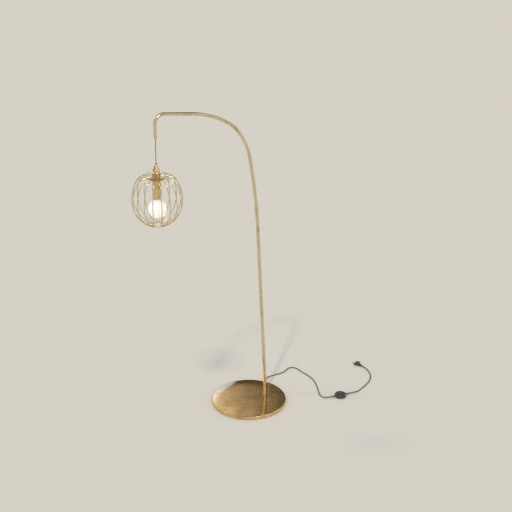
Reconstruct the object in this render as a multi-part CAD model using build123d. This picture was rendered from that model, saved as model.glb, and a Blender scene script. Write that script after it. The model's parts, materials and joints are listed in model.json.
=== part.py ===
"""Arched floor lamp with a wire cage pendant, as separate solids, in millimetres.

Z is up. The floor is z = 0, the origin is under the centre of the base, and the arm reaches
towards -X in the plane y = 0. The mains cord lies on the floor on the +X side.
"""

import math
import os

from build123d import *

# ------------------------------------------------------------------ clearances
slip = 0.05          # between pieces pushed or screwed together
body_gap = 0.3       # between pieces that move apart
running = 0.06       # radial, round a piece that turns in a bore

# ------------------------------------------------------------------ base
base_radius = 175.0
base_height = 18.0
pad_thickness = 2.0
cover_wall = 1.2
cover_lift = 1.0             # gap between the cover's skirt and the floor
rim_bevel = 1.6
pad_inset = 2.0              # of the pad from the edge of the weight
weight_web = 3.5             # left above the counterbore
counterbore_radius = 15.0
washer_radius = 13.0
washer_thickness = 1.2
nut_width = 17.0
nut_thickness = 3.0

# ------------------------------------------------------------------ threaded lamp pipe, both ends
pipe_radius = 5.0
pipe_bore = 3.7
pipe_hole = 5.1              # clearance hole for the pipe
pipe_grip = 22.0             # length of pipe inside the foot of the stem

# ------------------------------------------------------------------ stem and arm
tube_radius = 7.5
tube_wall = 1.2
foot_inset = 64.0            # from the rim of the base in to the axis of the stem
foot_stub = 25.0             # upright length at the foot
lean = 3.5                   # degrees that the stem leans towards the arm
lean_bend = 300.0            # bend radius that starts the lean
lower_straight = 757.0
upper_straight = 56.0
sway_bend = 2380.0           # the arch is three bends, each tighter or looser than the last
sway_turn = 9.0              # degrees
crown_bend = 334.0
crown_turn = 44.6            # degrees
arm_bend = 700.0
arm_turn = 18.9              # degrees
arm_straight = 164.0
tip_bend = 36.5
tip_straight = 51.0
insert_length = 20.0
coupling_length = 60.0
coupling_bore = 4.6

# ------------------------------------------------------------------ arm end
plug_seat = 12.0             # of the end plug inside the tube
nose_length = 10.0
nose_radius = 5.4
nose_bevel = 0.8
ball_radius = 4.0
ball_drop = 2.0              # from the ball's centre down to the nose's mouth
flex_radius = 1.5
sway_limit = 25.0            # degrees each way
grub_radius = 1.5
grub_height = 6.0            # above the end of the tube
grub_seat = 2.5              # from the axis of the tube to the screw's inner end
splice_radius = 4.2
splice_length = 18.0

# ------------------------------------------------------------------ pendant head, from the top down
flex_length = 99.0           # from the ball's centre to the top of the cord grip
grip_neck = 11.0
grip_top_radius = 2.6
grip_radius = 3.4
grip_seat = 8.0              # of the flex inside the grip
grip_nut_radius = 6.2
grip_nut_height = 10.0
grip_nut_thread = 4.0        # of the nut over the pipe
grip_nut_bevel = 1.0
grip_nut_bead = 2.5          # height of the upper bead
grip_nut_waist = 1.0         # height of the waist between the two beads
cap_height = 33.0
cap_cone_height = 21.0
cap_top_radius = 7.2
cap_radius = 15.4
cap_crown = 1.8              # thickness of the cap's flat top
sheet_wall = 1.2
collar_height = 30.0
collar_radius = 16.2
collar_wall = 1.8
collar_bevel = 1.2
collar_web = 2.4             # the collar's inner floor, which the pipe passes through
cover_height = 82.0
cover_top_radius = 15.3
cover_bottom_radius = 19.8
holder_pipe_grip = 11.0      # length of pipe inside the lampholder

# ------------------------------------------------------------------ cage
plate_thickness = 3.0
wire_radius = 1.75
wire_count = 18
first_wire = -2.0            # degrees, how the cage hangs turned from the arm's line
ring_radius = 21.0
weld = 0.35                  # how far welded pieces sink into each other
wire_start_rise = 45.0       # degrees above level where a wire leaves the top ring
wire_start_straight = 2.2
dimple_bend = 37.5
shoulder_bend = 40.5
shoulder_turn = 60.0         # degrees
upper_side_bend = 169.5
lower_side_bend = 123.0
lower_side_turn = 40.0       # degrees
bottom_bend = 101.0
bottom_turn = 38.0           # degrees

# ------------------------------------------------------------------ screw lampholder and bulb
insulator_top_radius = 14.0
insulator_radius = 16.2
insulator_floor = 5.0        # from the cover's mouth up to the insulator
insulator_waist = 43.0       # from the cover's mouth up to where it narrows
insulator_taper = 4.0
socket_depth = 36.0
shell_bore = 13.45
shell_wall = 0.5
shell_length = 30.0
shell_drop = 4.0             # from the top of the socket down to the shell
terminal_height = 60.0       # above the cover's mouth
terminal_reach = 9.5
terminal_width = 7.0
terminal_depth = 5.0
terminal_block = 8.0         # height of a terminal
terminal_screw = 1.2         # radius
terminal_head_radius = 2.4
terminal_head = 1.4
contact_disc = 4.0
contact_disc_thickness = 1.0
contact_stud = 1.5           # radius
globe_radius = 40.0
globe_drop = 48.0            # from the cover's mouth down to the globe's centre
glass_wall = 1.0
neck_radius = 13.6
neck_bend = 10.0
neck_seat_radius = 11.7      # of the neck inside the cap
neck_seat = 5.0
bulb_cap_radius = 13.1
thread_depth = 0.8
thread_pitch = 3.6
thread_turns = 6
bulb_cap_wall = 0.5
bulb_cap_hem = 1.5           # plain band under the threads
bulb_cap_cone = 1.5          # from the threads up to the cap's flat top
bulb_cap_top = 8.0           # radius of the flat top
bulb_cap_rim = 1.0           # width of the flat top
cap_skirt = 3.0              # from the cover's mouth down to the foot of the bulb's cap
bulb_insulator_height = 3.5
bulb_insulator_top = 5.4     # radius
bulb_tip_height = 2.4
bulb_tip_radius = 4.8
bulb_tip_top = 3.2           # radius
core_radius = 10.5
led_rise = 15.0              # from the globe's centre up to the board
led_radius = 15.0
core_length = 30.0
led_thickness = 3.0

# ------------------------------------------------------------------ mains cord
cord_radius = 2.4
channel_turn = 42.0          # degrees, the cord channel's direction from +X
relief_collar_radius = 3.6
relief_collar_length = 10.0
relief_tip_radius = 2.9
relief_flange_radius = 4.8
relief_flange = 2.0
relief_taper = 22.0
relief_lift = 0.2            # of the relief's collar off the pad
cord_corner = 5.5            # bend radius under the stem
base_run = 26.5              # straight runs of the cord out of the base,
switch_run = 28.0            # out of each side of the switch
plug_run = 27.0              # and into the plug
arc_share = 0.45             # of the shorter run that an arc of the cord takes up

# ------------------------------------------------------------------ foot switch
switch_x = 337.0
switch_y = -285.5
switch_turn = -25.0          # degrees, direction in which the cord leaves it
switch_radius = 27.0
switch_wall = 2.0
switch_split = 7.5
switch_height = 14.5
switch_fillet = 3.0
switch_foot_bevel = 0.6
button_radius = 12.5
button_rise = 3.0
button_travel = 2.5
button_flange = 2.0
button_flange_thickness = 1.5
button_fillet = 1.5
button_crown = 1.6           # thickness of the button's top
post_radius = 3.0
bridge_radius = 6.0
bridge_thickness = 1.2
spring_radius = 8.8
spring_wire = 0.4
spring_turns = 5
boss_radius = 3.4
boss_offset = 18.5
boss_root = 1.0              # how far a boss runs into the wall beside it
screw_radius = 1.25
screw_head_radius = 2.5
screw_head = 1.4
screw_length = 9.5
contact_width = 5.0
contact_inner = 3.0          # from the switch's axis
contact_outer = 15.0
contact_pad = 2.0
contact_sheet = 0.8
switch_relief_inner = 20.0
switch_relief_reach = 42.0
switch_relief_tip = 2.8

# ------------------------------------------------------------------ mains plug, two round pins
plug_x = 626.5               # where the cord enters it
plug_y = -180.0
plug_turn = 84.0             # degrees, the way its pins point
plug_thickness = 13.7
plug_width = 35.3
plug_rear_width = 13.0
plug_rear_thickness = 11.0
plug_waist_width = 20.0
plug_relief_length = 18.0
plug_relief_radius = 4.6
plug_waist = 12.0
plug_shoulder = 20.0
plug_length = 26.0
plug_corner = 5.0
pin_radius = 2.0
pin_root_radius = 1.5
pin_seat = 8.0
pin_sleeve_radius = 1.8
pin_sleeve_length = 10.0
pin_tip_length = 9.0
pin_round = 0.8
pin_spacing = 18.6

# ------------------------------------------------------------------ worked out from the above
tube_bore = tube_radius - tube_wall
foot_x = base_radius - foot_inset
weight_radius = base_radius - cover_wall - slip
weight_top = base_height - cover_wall
inner_bevel = rim_bevel - cover_wall * (2 - math.sqrt(2))
counterbore_top = weight_top - weight_web
channel_z = pad_thickness + relief_collar_radius + relief_lift
channel_width = 2 * relief_collar_radius
nut_foot = counterbore_top - washer_thickness - nut_thickness
channel_way = Vector(1, 0, 0).rotate(Axis.Z, channel_turn)
bridge_foot = switch_split - bridge_thickness
stand = (Align.CENTER, Align.CENTER, Align.MIN)


# ------------------------------------------------------------------ shapes used throughout
def disc(radius, bottom, top):
    return Pos(0, 0, bottom) * Cylinder(radius, top - bottom, align=stand)


def ring(outer, inner, bottom, top):
    return disc(outer, bottom, top) - disc(inner, bottom, top)


def turned(*profile):
    """A solid turned about Z from a closed outline of (radius, height) points."""
    return revolve(Plane.XZ * make_face(Polyline(*profile, close=True)), axis=Axis.Z)


def block(near, far, width, bottom, top):
    """A box along +X from one distance to another, centred on the X axis."""
    return Pos(near, 0, bottom) * Box(
        far - near, width, top - bottom, align=(Align.MIN, Align.CENTER, Align.MIN)
    )


def lying(shape, start, way):
    """A shape drawn up +Z from the origin, laid along a level direction."""
    return Plane(origin=start, z_dir=way) * shape


def cut(body, *tools):
    for tool in tools:
        body = body - tool
    return body


def bend_path(start, heading, steps):
    """Tangent lines and arcs in a flat plane. A step is (bend radius or None, length or degrees)."""
    edges = []
    for bend, amount in steps:
        if bend is None:
            edge = Line(start, Vector(*start) + Vector(*heading) * amount)
        else:
            edge = JernArc(start, heading, bend, amount)
        edges.append(edge)
        start, heading = tuple(edge @ 1), tuple(edge % 1)
    return edges


def swept(section, path):
    return sweep(Plane(origin=path @ 0, z_dir=path % 0) * section, path=path)


def upright_wire(edges):
    """Edges drawn flat, stood up so that their x is X and their y is Z."""
    return Wire([edge.moved(Plane.XZ.location) for edge in edges])


def tapered(root, tip, length):
    return Cone(root, tip, length, align=stand)


# ------------------------------------------------------------------ the line of the stem
lower_steps = [(None, foot_stub), (lean_bend, lean), (None, lower_straight)]
arch_turn = lean + sway_turn + crown_turn + arm_turn
upper_steps = [
    (None, upper_straight),
    (sway_bend, sway_turn),
    (crown_bend, crown_turn),
    (arm_bend, arm_turn),
    (None, arm_straight),
    (tip_bend, 180 - arch_turn),
    (None, tip_straight),
]
lower_edges = bend_path((foot_x, base_height), (0, 1), lower_steps)
joint = lower_edges[-1] @ 1
joint_way = lower_edges[-1] % 1
upper_edges = bend_path(tuple(joint), tuple(joint_way), upper_steps)
arm_end = upper_edges[-1] @ 1
tip_x = arm_end.X
tip_z = arm_end.Y

# Heights down the pendant
ball_z = tip_z - nose_length + ball_drop
grip_z = ball_z - flex_length
nut_z = grip_z - grip_neck
cap_z = nut_z - grip_nut_height
collar_z = cap_z - cap_height
plate_z = collar_z - collar_height
cover_z = plate_z - plate_thickness
mouth_z = cover_z - cover_height
globe_z = mouth_z - globe_drop


# ------------------------------------------------------------------ base
def base_parts():
    stem_hole = Pos(foot_x, 0, 0) * disc(pipe_hole, 0, base_height)
    rim = base_radius
    shell = rim - cover_wall
    cover = turned(
        (0, base_height), (rim - rim_bevel, base_height), (rim, base_height - rim_bevel),
        (rim, cover_lift), (shell, cover_lift), (shell, weight_top - inner_bevel),
        (shell - inner_bevel, weight_top), (0, weight_top),
    )
    weight = turned(
        (0, pad_thickness), (weight_radius, pad_thickness),
        (weight_radius, weight_top - inner_bevel), (weight_radius - inner_bevel, weight_top),
        (0, weight_top),
    )
    counterbore = Pos(foot_x, 0, 0) * disc(counterbore_radius, pad_thickness, counterbore_top)
    channel = Pos(foot_x, 0, 0) * Rot(0, 0, channel_turn) * block(
        0, rim_reach, channel_width + 2 * slip, pad_thickness, channel_z
    )
    roof = lying(disc(relief_collar_radius + slip, 0, rim_reach + relief_flange), foot_at(0), channel_way)
    parts = {
        "base_cover": cut(cover, stem_hole, roof),
        "base_weight": cut(weight, stem_hole, counterbore, channel, roof),
        "floor_pad": disc(weight_radius - pad_inset, 0, pad_thickness),
    }
    washer_foot = nut_foot + nut_thickness
    hexagon = RegularPolygon(nut_width / 2, 6, major_radius=False)
    nut = Pos(0, 0, nut_foot) * extrude(hexagon, nut_thickness)
    pipe_top = base_height + pipe_grip
    insert_top = base_height + insert_length
    parts["base_washer"] = ring(washer_radius, pipe_hole, washer_foot, counterbore_top)
    parts["base_nut"] = nut - disc(pipe_radius + slip, nut_foot, washer_foot)
    parts["base_pipe"] = ring(pipe_radius, pipe_bore, nut_foot, pipe_top)
    parts["stem_insert"] = ring(tube_bore - slip, pipe_radius + slip, base_height, insert_top)
    for name in ("base_washer", "base_nut", "base_pipe", "stem_insert"):
        parts[name] = Pos(foot_x, 0, 0) * parts[name]
    parts["base_cord_relief"] = base_relief()
    return parts


def foot_at(reach):
    """A point on the cord channel's centre line, at a distance from the stem's axis."""
    return Vector(foot_x, 0, channel_z) + channel_way * reach


def rim_distance():
    """From the stem's axis along the cord channel to the rim of the base."""
    along = foot_x * math.cos(math.radians(channel_turn))
    return math.sqrt(along**2 + base_radius**2 - foot_x**2) - along


def base_relief():
    """Collar inside the rim, a flange shaped to the rim's curve and a taper outside."""
    flange = lying(disc(relief_flange_radius, -relief_flange, relief_flange), foot_at(rim_reach), channel_way)
    flange -= disc(base_radius + slip, 0, base_height)
    collar = disc(relief_collar_radius, -relief_collar_length, relief_flange)
    taper = Pos(0, 0, relief_flange) * tapered(relief_collar_radius, relief_tip_radius, relief_taper)
    return flange + lying(collar + taper, foot_at(rim_reach), channel_way)


rim_reach = rim_distance()
base_tip = foot_at(rim_reach + relief_flange + relief_taper)


# ------------------------------------------------------------------ stem and arm
def stem_parts():
    tube = Circle(tube_radius) - Circle(tube_bore)
    lower = swept(tube, upright_wire(lower_edges))
    upper = swept(tube, upright_wire(upper_edges))
    grub_way = Vector(1, 0, 0)
    grub_at = Vector(tip_x, 0, tip_z + grub_height)
    grub_hole = lying(disc(grub_radius + slip, 0, 2 * tube_radius), grub_at, grub_way)
    sleeve = ring(tube_bore - slip, coupling_bore, -coupling_length / 2, coupling_length / 2)
    joint_at = Vector(joint.X, 0, joint.Y)
    joint_up = Vector(joint_way.X, 0, joint_way.Y)
    return {
        "stem_lower": lower,
        "stem_arch": upper - grub_hole,
        "stem_coupling": lying(sleeve, joint_at, joint_up),
        "stem_cord": stem_cord(),
        "arm_splice": Pos(tip_x, 0, tip_z + plug_seat) * Cylinder(splice_radius, splice_length, align=stand),
        "arm_end_plug": arm_end_plug() - grub_hole,
        "grub_screw": lying(disc(grub_radius, grub_seat, tube_radius), grub_at, grub_way),
        "flex_tail": Pos(tip_x, 0, 0) * disc(flex_radius, ball_z + ball_radius + body_gap, tip_z + plug_seat),
    }


def stem_cord():
    """The flex from the rim of the base, up inside the stem and over to the splice."""
    inner_end = foot_at(rim_reach - relief_collar_length)
    corner_start = foot_at(cord_corner)
    corner_end = foot_at(0) + Vector(0, 0, cord_corner)
    half = math.sin(math.radians(45))
    middle = foot_at(cord_corner * (1 - half)) + Vector(0, 0, cord_corner * (1 - half))
    climb = base_height + foot_stub - corner_end.Z
    splice_top = tip_straight - plug_seat - splice_length
    steps = [(None, climb), (lean_bend, lean), (None, lower_straight + upper_straight)]
    steps += upper_steps[1:-1] + [(None, splice_top)]
    edges = bend_path((foot_x, corner_end.Z), (0, 1), steps)
    rising = [edge.moved(Plane.XZ.location) for edge in edges]
    floor_run = [Line(inner_end, corner_start), ThreePointArc(corner_start, middle, corner_end)]
    return swept(Circle(cord_radius), Wire(floor_run + rising))


def arm_end_plug():
    nose_z = tip_z - nose_length
    body = turned(
        (0, tip_z + plug_seat), (tube_bore - slip, tip_z + plug_seat), (tube_bore - slip, tip_z),
        (nose_radius, tip_z), (nose_radius, nose_z + nose_bevel),
        (nose_radius - nose_bevel, nose_z), (0, nose_z),
    )
    socket = Pos(0, 0, ball_z) * Sphere(ball_radius + body_gap)
    bore = disc(flex_radius + body_gap, ball_z, tip_z + plug_seat)
    return Pos(tip_x, 0, 0) * cut(body, socket, bore)


def swivel_ball():
    """A ball in the arm's nose, slotted in the plane of the arm for the flex to swing in."""
    slot_radius = flex_radius + body_gap
    reach = 2 * ball_radius
    blades = Circle(slot_radius)
    for turn in (-sway_limit, 0, sway_limit):
        blades += Rot(0, 0, turn) * Pos(0, -reach / 2) * Rectangle(2 * slot_radius, reach)
    fan = Polyline(
        (0, 0),
        (reach * math.sin(math.radians(sway_limit)), -reach * math.cos(math.radians(sway_limit))),
        (0, -reach),
        (-reach * math.sin(math.radians(sway_limit)), -reach * math.cos(math.radians(sway_limit))),
        close=True,
    )
    outline = blades + make_face(fan)
    slot = extrude(Plane.XZ * outline, slot_radius, both=True)
    return Pos(tip_x, 0, ball_z) * (Sphere(ball_radius) - slot)


# ------------------------------------------------------------------ pendant
def pendant_parts():
    flex_bottom = grip_z - grip_seat
    flex = disc(flex_radius, flex_bottom, ball_z) + Pos(0, 0, ball_z) * Sphere(flex_radius)
    pipe_top = nut_z - grip_nut_height + grip_nut_thread
    grip_bore = flex_radius + running
    grip_foot = pipe_top - 2 * grip_nut_thread
    grip = turned(
        (grip_bore, grip_z), (grip_top_radius, grip_z), (grip_radius, nut_z),
        (grip_radius, grip_foot), (grip_bore, grip_foot),
    )
    waist = grip_nut_radius - grip_nut_bevel
    bead_foot = nut_z - grip_nut_bevel - grip_nut_bead
    waist_top = bead_foot - grip_nut_bevel
    waist_foot = waist_top - grip_nut_waist
    nut = turned(
        (grip_radius + slip, nut_z), (waist, nut_z), (grip_nut_radius, nut_z - grip_nut_bevel),
        (grip_nut_radius, bead_foot), (waist, waist_top), (waist, waist_foot),
        (grip_nut_radius, waist_foot - grip_nut_bevel), (grip_nut_radius, cap_z), (pipe_radius + slip, cap_z),
        (pipe_radius + slip, pipe_top), (grip_radius + slip, pipe_top),
    )
    cone_z = cap_z - cap_cone_height
    cap = turned(
        (pipe_radius + slip, cap_z), (cap_top_radius, cap_z), (cap_radius, cone_z),
        (cap_radius, collar_z), (cap_radius - sheet_wall, collar_z),
        (cap_radius - sheet_wall, cone_z), (cap_top_radius - sheet_wall / 2, cap_z - cap_crown),
        (pipe_radius + slip, cap_z - cap_crown),
    )
    bore = collar_radius - collar_wall
    web_z = (collar_z + plate_z) / 2
    collar = turned(
        (bore, collar_z), (collar_radius - collar_bevel, collar_z), (collar_radius, collar_z - collar_bevel),
        (collar_radius, plate_z + collar_bevel), (collar_radius - collar_bevel, plate_z), (bore, plate_z),
        (bore, web_z - collar_web / 2), (pipe_radius + slip, web_z - collar_web / 2),
        (pipe_radius + slip, web_z + collar_web / 2), (bore, web_z + collar_web / 2),
    )
    cover = turned(
        (pipe_hole, cover_z), (cover_top_radius - sheet_wall, cover_z),
        (cover_top_radius, cover_z - sheet_wall), (cover_bottom_radius, mouth_z),
        (cover_bottom_radius - sheet_wall, mouth_z),
        (cover_top_radius - sheet_wall, cover_z - sheet_wall), (pipe_hole, cover_z - sheet_wall),
    )
    pipe_foot = cover_z - sheet_wall - holder_pipe_grip
    lead_foot = mouth_z + terminal_height
    parts = {
        "pendant_flex": flex,
        "cord_grip": grip,
        "grip_nut": nut,
        "pendant_cap": cap,
        "clamp_collar": collar,
        "lampholder_cover": cover,
        "holder_pipe": ring(pipe_radius, pipe_bore, pipe_foot, pipe_top),
        "holder_lead": disc(flex_radius, lead_foot, flex_bottom - body_gap),
    }
    parts.update(lampholder_parts(pipe_foot))
    parts.update(cage_parts())
    parts.update(bulb_parts())
    return {name: Pos(tip_x, 0, 0) * shape for name, shape in parts.items()}


def lampholder_parts(pipe_foot):
    """The insulator with its screw shell, centre contact and two screw terminals."""
    foot = mouth_z + insulator_floor
    waist = mouth_z + insulator_waist
    top = cover_z - sheet_wall
    socket_top = foot + socket_depth
    bore = shell_bore + shell_wall + slip
    body = turned(
        (0, foot), (insulator_radius, foot), (insulator_radius, waist - insulator_taper),
        (insulator_top_radius, waist), (insulator_top_radius, top), (0, top),
    )
    terminal_z = mouth_z + terminal_height
    crossing = Pos(0, 0, terminal_z) * Box(
        2 * insulator_radius, terminal_width + 2 * slip, terminal_block + 2 * slip
    )
    body = cut(
        body,
        disc(bore, foot, socket_top),
        disc(pipe_radius + slip, pipe_foot, top),
        disc(flex_radius + slip, terminal_z, pipe_foot),
        crossing,
    )
    blocks, screws = [], []
    for side in (-1, 1):
        body_block = Box(terminal_depth, terminal_width, terminal_block)
        axis_at = Vector(side * (terminal_reach - terminal_depth / 2), 0, terminal_z)
        outward = Vector(side, 0, 0)
        hole = lying(disc(terminal_screw + slip, 0, terminal_depth), axis_at, outward)
        shank = disc(terminal_screw, 0, terminal_depth)
        head = disc(terminal_head_radius, terminal_depth, terminal_depth + terminal_head)
        blocks.append(Pos(side * terminal_reach, 0, terminal_z) * body_block - hole)
        screws.append(lying(shank + head, axis_at, outward))
    tip_top = bulb_tip_z() + bulb_tip_height
    contact_z = tip_top + body_gap
    contact = disc(contact_disc, contact_z, contact_z + contact_disc_thickness)
    contact += disc(contact_stud, contact_z, socket_top)
    shell_foot = socket_top - shell_length - shell_drop
    return {
        "holder_insulator": body,
        "screw_shell": ring(shell_bore + shell_wall, shell_bore, shell_foot, shell_foot + shell_length),
        "centre_contact": contact,
        "terminals": Compound(blocks),
        "terminal_screws": Compound(screws),
    }


def cage_wire():
    """One wire: up out of the top ring, over the shoulder, down the side and in to the bottom ring."""
    rise = math.radians(wire_start_rise)
    ring_face = wire_radius - weld
    start = (
        ring_radius + ring_face * math.cos(rise),
        plate_z - plate_thickness / 2 + ring_face * math.sin(rise),
    )
    steps = [
        (None, wire_start_straight),
        (dimple_bend, -wire_start_rise),
        (shoulder_bend, -shoulder_turn),
        (upper_side_bend, shoulder_turn - 90),
        (lower_side_bend, -lower_side_turn),
        (bottom_bend, -bottom_turn),
    ]
    return bend_path(start, (math.cos(rise), math.sin(rise)), steps)


def hoop(height, centre_radius):
    return Pos(0, 0, height) * Torus(centre_radius, wire_radius)


def cage_parts():
    edges = cage_wire()
    wire = swept(Circle(wire_radius), upright_wire(edges))
    step = 360 / wire_count
    wires = [Rot(0, 0, first_wire + step * number) * wire for number in range(wire_count)]
    wire_foot = edges[-1] @ 1
    plate = ring(ring_radius - wire_radius + weld, pipe_hole, cover_z, plate_z)
    return {
        "cage_plate": plate,
        "cage_top_ring": hoop(plate_z - plate_thickness / 2, ring_radius),
        "cage_wires": Compound([solid for piece in wires for solid in piece.solids()]),
        "cage_bottom_ring": hoop(wire_foot.Y, wire_foot.X - wire_radius + weld),
    }


def bulb_cap_z():
    """The flat top of the bulb's cap."""
    return mouth_z - cap_skirt + bulb_cap_hem + thread_turns * thread_pitch + bulb_cap_cone


def bulb_tip_z():
    """The foot of the bulb's end contact."""
    return bulb_cap_z() + bulb_insulator_height


def bulb_parts():
    """Opal globe with a screw cap, its end contact up, and the light core inside."""
    cap_foot = mouth_z - cap_skirt
    cap_top = bulb_cap_z()
    thread_foot = cap_foot + bulb_cap_hem
    threads_top = cap_top - bulb_cap_cone
    root = bulb_cap_radius - thread_depth
    bore = root - bulb_cap_wall
    outline = [(bore, cap_foot), (root, cap_foot)]
    for number in range(thread_turns):
        crest = thread_foot + (number + 0.5) * thread_pitch
        outline += [(root, crest - thread_pitch / 2), (bulb_cap_radius, crest)]
    outline += [
        (root, threads_top), (bulb_cap_top, cap_top),
        (bulb_cap_top - bulb_cap_rim, cap_top), (bore, threads_top - bulb_cap_wall),
    ]
    insulator = Pos(0, 0, cap_top) * tapered(bulb_cap_top, bulb_insulator_top, bulb_insulator_height)
    tip = Pos(0, 0, bulb_tip_z()) * tapered(bulb_tip_radius, bulb_tip_top, bulb_tip_height)
    led_top = globe_z + led_rise
    led_foot = led_top - led_thickness
    core = disc(core_radius, led_top, led_top + core_length) + disc(led_radius, led_foot, led_top)
    return {
        "bulb_glass": glass_globe(),
        "bulb_cap": turned(*outline),
        "bulb_insulator": insulator,
        "bulb_tip": tip,
        "bulb_core": core,
    }


def globe_outline(radius, neck, bend, shoulder, seat_radius, seat_top):
    """A globe that flows into its neck and steps in to its seat in the cap."""
    centre_reach = neck + bend
    lift = math.sqrt((radius + bend) ** 2 - centre_reach**2)
    share = radius / (radius + bend)
    meet = (centre_reach * share, globe_z + lift * share)
    neck_foot = (neck, globe_z + lift)
    halfway = math.radians(180 + math.degrees(math.atan2(lift, centre_reach)) / 2)
    middle = (
        centre_reach + bend * math.cos(halfway),
        globe_z + lift + bend * math.sin(halfway),
    )
    seat = Polyline(
        neck_foot, (neck, shoulder), (seat_radius, shoulder), (seat_radius, seat_top),
        (0, seat_top), (0, globe_z - radius),
    )
    edges = [
        ThreePointArc((0, globe_z - radius), (radius, globe_z), meet),
        ThreePointArc(meet, middle, neck_foot),
        *seat.edges(),
    ]
    return revolve(Plane.XZ * make_face(Wire(edges)), axis=Axis.Z)


def glass_globe():
    shoulder = mouth_z - cap_skirt - slip
    top = shoulder + neck_seat
    outer = globe_outline(globe_radius, neck_radius, neck_bend, shoulder, neck_seat_radius, top)
    hollow = Pos(0, 0, globe_z) * Sphere(globe_radius - glass_wall)
    return cut(outer, hollow, disc(neck_seat_radius - glass_wall, globe_z, top))


# ------------------------------------------------------------------ foot switch
def place_switch(shape):
    return Pos(switch_x, switch_y, 0) * Rot(0, 0, switch_turn) * shape


def switch_parts():
    inner = switch_radius - switch_wall
    ceiling = switch_height - switch_wall
    both_ways = lying(
        disc(relief_collar_radius + slip, -switch_radius, switch_radius), (0, 0, switch_split), (1, 0, 0)
    )
    bosses = [Pos(0, side * boss_offset, 0) * disc(boss_radius, 0, ceiling) for side in (-1, 1)]
    lower = disc(switch_radius, 0, switch_split)
    lower = chamfer(lower.edges().group_by(Axis.Z)[0], switch_foot_bevel)
    groove_foot = switch_wall - contact_sheet - 2 * slip
    lower = lower - disc(inner, switch_wall, switch_split)
    for turn in (0, 180):
        lower -= Rot(0, 0, turn) * block(
            contact_inner - slip, contact_outer + slip, contact_width + 2 * slip, groove_foot, switch_wall
        )
    upper = disc(switch_radius, switch_split, switch_height)
    upper = fillet(upper.edges().group_by(Axis.Z)[-1], switch_fillet)
    button_hole = disc(button_radius + body_gap, ceiling, switch_height)
    upper = cut(upper, disc(inner, switch_split, ceiling), button_hole)
    screws = []
    for side, boss in zip((-1, 1), bosses):
        at = Pos(0, side * boss_offset, 0)
        lower += boss & disc(inner + boss_root, switch_wall, switch_split)
        upper += boss & disc(inner + boss_root, switch_split, ceiling)
        shank_hole = at * disc(screw_radius + slip, 0, screw_head + screw_length)
        head_hole = at * disc(screw_head_radius + slip, 0, screw_head + slip)
        lower = cut(lower, shank_hole, head_hole)
        upper = upper - shank_hole
        head = disc(screw_head_radius, slip, screw_head)
        screws.append(at * (head + disc(screw_radius, screw_head, screw_head + screw_length)))
    spring_z = switch_wall + spring_wire + slip
    button_ceiling = switch_height + button_rise - button_crown
    spring_height = button_ceiling - 2 * (spring_wire + slip) - switch_wall
    coil = Helix(spring_height / spring_turns, spring_height, spring_radius)
    spring = Pos(0, 0, spring_z) * sweep(
        Plane(origin=coil @ 0, z_dir=coil % 0) * Circle(spring_wire), path=coil, is_frenet=True
    )
    parts = {
        "switch_base": lower - both_ways,
        "switch_cover": upper - both_ways,
        "switch_button": switch_button(ceiling, button_ceiling),
        "contact_bridge": disc(bridge_radius, bridge_foot, switch_split),
        "switch_spring": spring,
        "switch_contacts": Compound([switch_contact(side) for side in (-1, 1)]),
        "switch_screws": Compound(screws),
        "switch_reliefs": Compound([switch_relief(side) for side in (-1, 1)]),
    }
    return {name: place_switch(shape) for name, shape in parts.items()}


def switch_button(ceiling, button_ceiling):
    flange_top = ceiling - body_gap
    top = switch_height + button_rise
    button = disc(button_radius, flange_top - button_flange_thickness, top)
    button = fillet(button.edges().group_by(Axis.Z)[-1], button_fillet)
    button += disc(button_radius + button_flange, flange_top - button_flange_thickness, flange_top)
    button -= disc(button_radius - switch_wall, flange_top - button_flange_thickness, button_ceiling)
    return button + disc(post_radius, switch_split, button_ceiling)


def switch_contact(side):
    """A strip let into the switch's floor, with a raised pad under the contact bridge."""
    strip_foot = switch_wall - contact_sheet - slip
    pad_top = bridge_foot - button_travel - body_gap
    strip = block(contact_inner, contact_outer, contact_width, strip_foot, strip_foot + contact_sheet)
    pad = block(contact_inner, contact_inner + contact_pad, contact_width, strip_foot, pad_top)
    return Rot(0, 0, 0 if side > 0 else 180) * (strip + pad)


def switch_relief(side):
    collar = disc(relief_collar_radius, switch_relief_inner, switch_radius)
    taper = Pos(0, 0, switch_radius) * tapered(
        relief_collar_radius, switch_relief_tip, switch_relief_reach - switch_radius
    )
    return lying(collar + taper, (0, 0, switch_split), (side, 0, 0))


# ------------------------------------------------------------------ plug
def place_plug(shape):
    return Pos(plug_x, plug_y, plug_thickness / 2) * Rot(0, 0, plug_turn) * shape


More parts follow.
